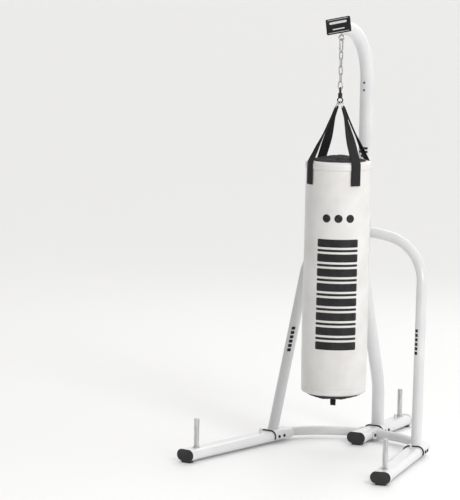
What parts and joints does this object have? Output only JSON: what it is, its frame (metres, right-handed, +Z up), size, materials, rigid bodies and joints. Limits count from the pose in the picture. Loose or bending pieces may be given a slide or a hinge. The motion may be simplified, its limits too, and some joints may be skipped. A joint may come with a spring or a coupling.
{
  "type": "punching bag on stand",
  "caption": "Cylindrical heavy bag hung by webbing straps and a short chain from the bent boom of a free-standing tubular steel stand with spread legs and weight pegs.",
  "frame": {"origin": "on the floor, below the centre of the whole part's box", "axes": "+X to the right, -Y towards the side where the bag hangs, +Z up"},
  "size_m": [1.0758, 1.4342, 2.0617],
  "materials": {
    "white_powder_coat": "gloss powder coat",
    "black_plastic": "moulded, fine grain",
    "zinc_plate": "bright zinc plate",
    "black_steel": "black oxide",
    "black_plate": "satin enamel",
    "peg_steel": "satin zinc plate",
    "white_vinyl": "coated vinyl, fine grain",
    "black_webbing": "woven webbing",
    "black_fabric": "coated canvas",
    "foam_liner": "foam",
    "textile_filling": "packed textile"
  },
  "bodies": {
    "stand": {"left_base_leg": "white_powder_coat", "right_base_leg": "white_powder_coat", "centre_base_leg": "white_powder_coat", "left_curved_bar": "white_powder_coat", "right_curved_bar": "white_powder_coat", "bar_flange_bolts": "black_steel", "left_leg_cap": "black_plastic", "right_leg_cap": "black_plastic", "centre_front_cap": "black_plastic", "centre_rear_cap": "black_plastic", "left_arch_saddle": "white_powder_coat", "right_arch_saddle": "white_powder_coat", "upright_saddle": "white_powder_coat", "left_saddle_liner": "black_plastic", "right_saddle_liner": "black_plastic", "upright_saddle_liner": "black_plastic", "saddle_bolts": "black_steel", "lower_upright": "white_powder_coat", "upper_boom": "white_powder_coat", "boom_end_plug": "black_plastic", "sign_plate": "black_plate", "sign_plate_screws": "black_steel", "arch_frame": "white_powder_coat", "arch_bracket": "white_powder_coat", "arch_bolts": "black_steel", "splice_bolts": "black_steel", "boom_hole_plugs": "black_plastic", "left_weight_peg": "peg_steel", "right_weight_peg": "peg_steel", "rear_weight_peg": "peg_steel", "peg_washers": "peg_steel", "leg_eyes": "white_powder_coat", "boom_eye_bolt": "zinc_plate", "eye_bolt_nut": "black_steel"},
    "hook": {"snap_hook": "zinc_plate", "gate_rivet": "zinc_plate"},
    "gate": {"hook_gate": "zinc_plate", "gate_spring": "zinc_plate"},
    "chain": {"chain_link_1": "zinc_plate", "chain_link_2": "zinc_plate", "chain_link_3": "zinc_plate", "chain_link_4": "zinc_plate"},
    "pear": {"pear_link": "zinc_plate"},
    "swivel_head": {"swivel_eye": "black_steel"},
    "bag": {"swivel_cup": "black_steel", "right_strap_ring": "zinc_plate", "left_strap_ring": "zinc_plate", "front_right_strap": "black_webbing", "rear_right_strap": "black_webbing", "rear_left_strap": "black_webbing", "front_left_strap": "black_webbing", "bag_shell": "white_vinyl", "bag_top_band": "white_vinyl", "bag_top_cap": "black_fabric", "bag_liner": "foam_liner", "bag_filling": "textile_filling", "bag_bottom_cap": "black_fabric", "bag_bottom_tab": "black_webbing"}
  },
  "joints": [
    {"name": "hook_swing", "type": "hinge", "parent": "stand", "child": "hook", "pos_m": [0, -0.159, 1.945], "axis": [1, 0, 0], "range_deg": [-40, 4]},
    {"name": "gate_open", "type": "hinge", "parent": "hook", "child": "gate", "pos_m": [0, -0.174, 1.9074], "axis": [-1, 0, 0], "range_deg": [0, 25], "stiffness_Nm_per_rad": 0.05, "springref_deg": -17.19},
    {"name": "chain_swing", "type": "hinge", "parent": "hook", "child": "chain", "pos_m": [0, -0.159, 1.8894], "axis": [0, 1, 0], "range_deg": [-30, 30]},
    {"name": "bag_rock_side", "type": "hinge", "parent": "chain", "child": "pear", "pos_m": [0, -0.159, 1.7516], "axis": [0, 1, 0], "range_deg": [-5, 5]},
    {"name": "bag_rock_fore", "type": "hinge", "parent": "pear", "child": "swivel_head", "pos_m": [0, -0.159, 1.7201], "axis": [1, 0, 0], "range_deg": [-15, 2.5]},
    {"name": "bag_spin", "type": "hinge", "parent": "swivel_head", "child": "bag", "pos_m": [0, -0.159, 1.691], "axis": [0, 0, 1], "continuous": true}
  ]
}
